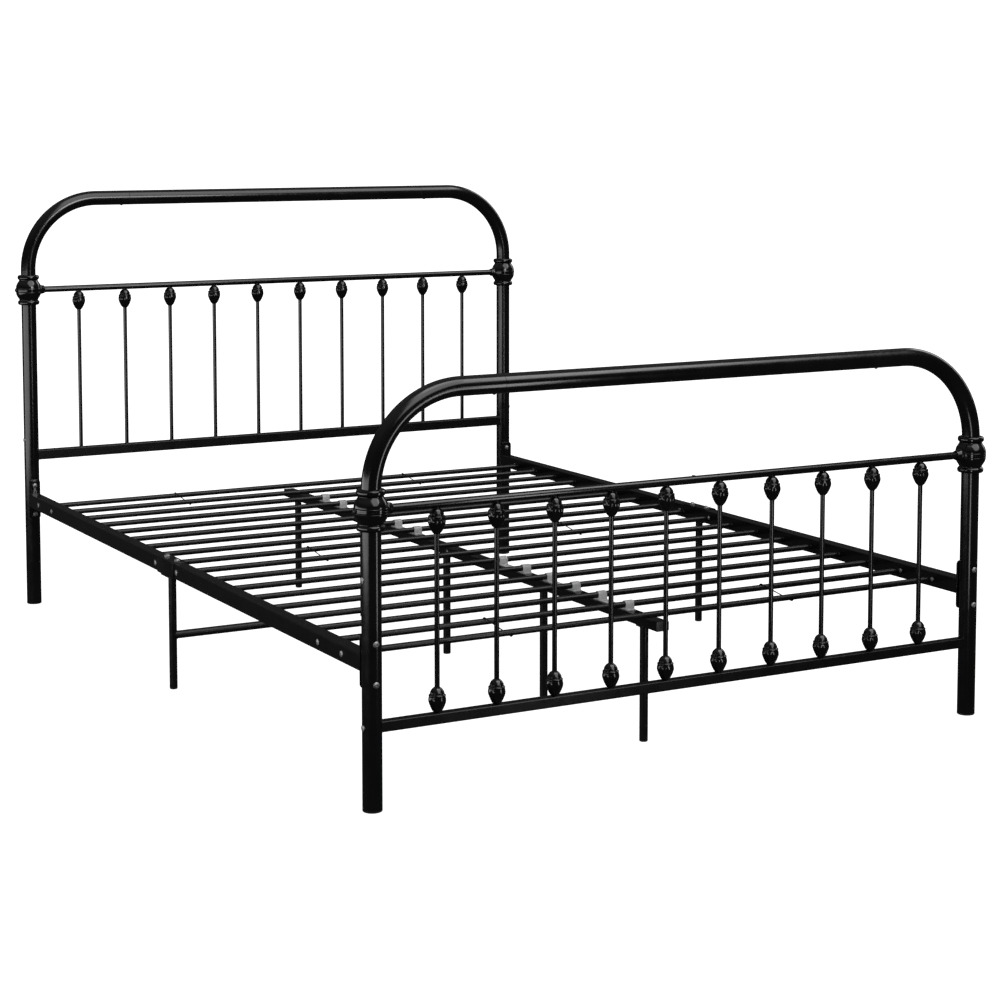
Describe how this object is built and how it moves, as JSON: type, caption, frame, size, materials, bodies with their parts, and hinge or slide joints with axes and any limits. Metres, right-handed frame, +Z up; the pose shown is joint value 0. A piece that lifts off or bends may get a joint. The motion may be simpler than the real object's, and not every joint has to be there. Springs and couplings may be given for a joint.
{
  "type": "bed frame",
  "caption": "Black metal double bed frame with arched headboard and footboard, cast ball joints, spindles with turned finials, and a round-bar slat deck on bolted rails.",
  "frame": {"origin": "on the floor, under the centre of the bed", "axes": "+Z up, +Y towards the headboard, +X to the right for someone standing at the foot"},
  "size_m": [1.493, 2.1248, 1.088],
  "materials": {
    "black_powder_coat": "Gloss black powder coat on steel tube and plate, with a faint orange-peel texture",
    "slat_black": "Semi-gloss black powder coat on thin steel tube",
    "cast_gloss_black": "Glossy black coat on die-cast balls and finials",
    "zinc_fasteners": "Bright zinc plating on bolts, screws and nuts",
    "black_screws": "Blackened steel screws",
    "bare_steel": "Uncoated drawn steel of the sleeves inside the joints",
    "black_plastic": "Moulded black plastic caps and plugs with a fine grain",
    "grey_plastic": "Moulded light grey plastic, satin",
    "black_wire": "Black coated steel wire"
  },
  "bodies": {
    "root": {"arch_joint_screws": "black_screws", "arch_joint_sleeves": "bare_steel", "beam_end_plugs": "black_plastic", "beam_foot_half": "black_powder_coat", "beam_head_half": "black_powder_coat", "beam_joint_bolts": "zinc_fasteners", "beam_joint_sleeve": "bare_steel", "cap_nuts": "zinc_fasteners", "centre_leg_plates": "black_powder_coat", "centre_leg_screws": "black_screws", "centre_legs": "black_powder_coat", "clip_screws": "zinc_fasteners", "drain_plugs": "black_plastic", "footboard_bottom_finials": "cast_gloss_black", "footboard_left_bend": "black_powder_coat", "footboard_left_knuckle": "cast_gloss_black", "footboard_left_post": "black_powder_coat", "footboard_lower_rail": "black_powder_coat", "footboard_rail_nuts": "zinc_fasteners", "footboard_rail_screws": "zinc_fasteners", "footboard_right_bend": "black_powder_coat", "footboard_right_knuckle": "cast_gloss_black", "footboard_right_post": "black_powder_coat", "footboard_spindles": "black_powder_coat", "footboard_top_finials": "cast_gloss_black", "footboard_top_tube": "black_powder_coat", "footboard_upper_rod": "black_powder_coat", "headboard_left_bend": "black_powder_coat", "headboard_left_knuckle": "cast_gloss_black", "headboard_left_post": "black_powder_coat", "headboard_lower_rail": "black_powder_coat", "headboard_right_bend": "black_powder_coat", "headboard_right_knuckle": "cast_gloss_black", "headboard_right_post": "black_powder_coat", "headboard_spindles": "black_powder_coat", "headboard_top_finials": "cast_gloss_black", "headboard_top_tube": "black_powder_coat", "headboard_upper_rod": "black_powder_coat", "knuckle_buttons": "black_plastic", "left_crossbar": "black_powder_coat", "left_rail_foot_half": "black_powder_coat", "left_rail_head_half": "black_powder_coat", "leg_end_caps": "black_plastic", "post_bolt_nuts": "zinc_fasteners", "post_bolts": "zinc_fasteners", "post_foot_caps": "black_plastic", "post_screws": "zinc_fasteners", "rail_bolts": "zinc_fasteners", "rail_brackets_foot": "black_powder_coat", "rail_brackets_head": "black_powder_coat", "rail_cover_bolts": "zinc_fasteners", "rail_joint_covers": "black_powder_coat", "rail_joint_sleeves": "bare_steel", "right_rail_foot_half": "black_powder_coat", "right_rail_head_half": "black_powder_coat", "side_mid_legs": "black_powder_coat", "slat_clips": "grey_plastic", "slat_wire_links": "black_wire", "slats_foot": "slat_black", "slats_head": "slat_black"}
  },
  "joints": []
}
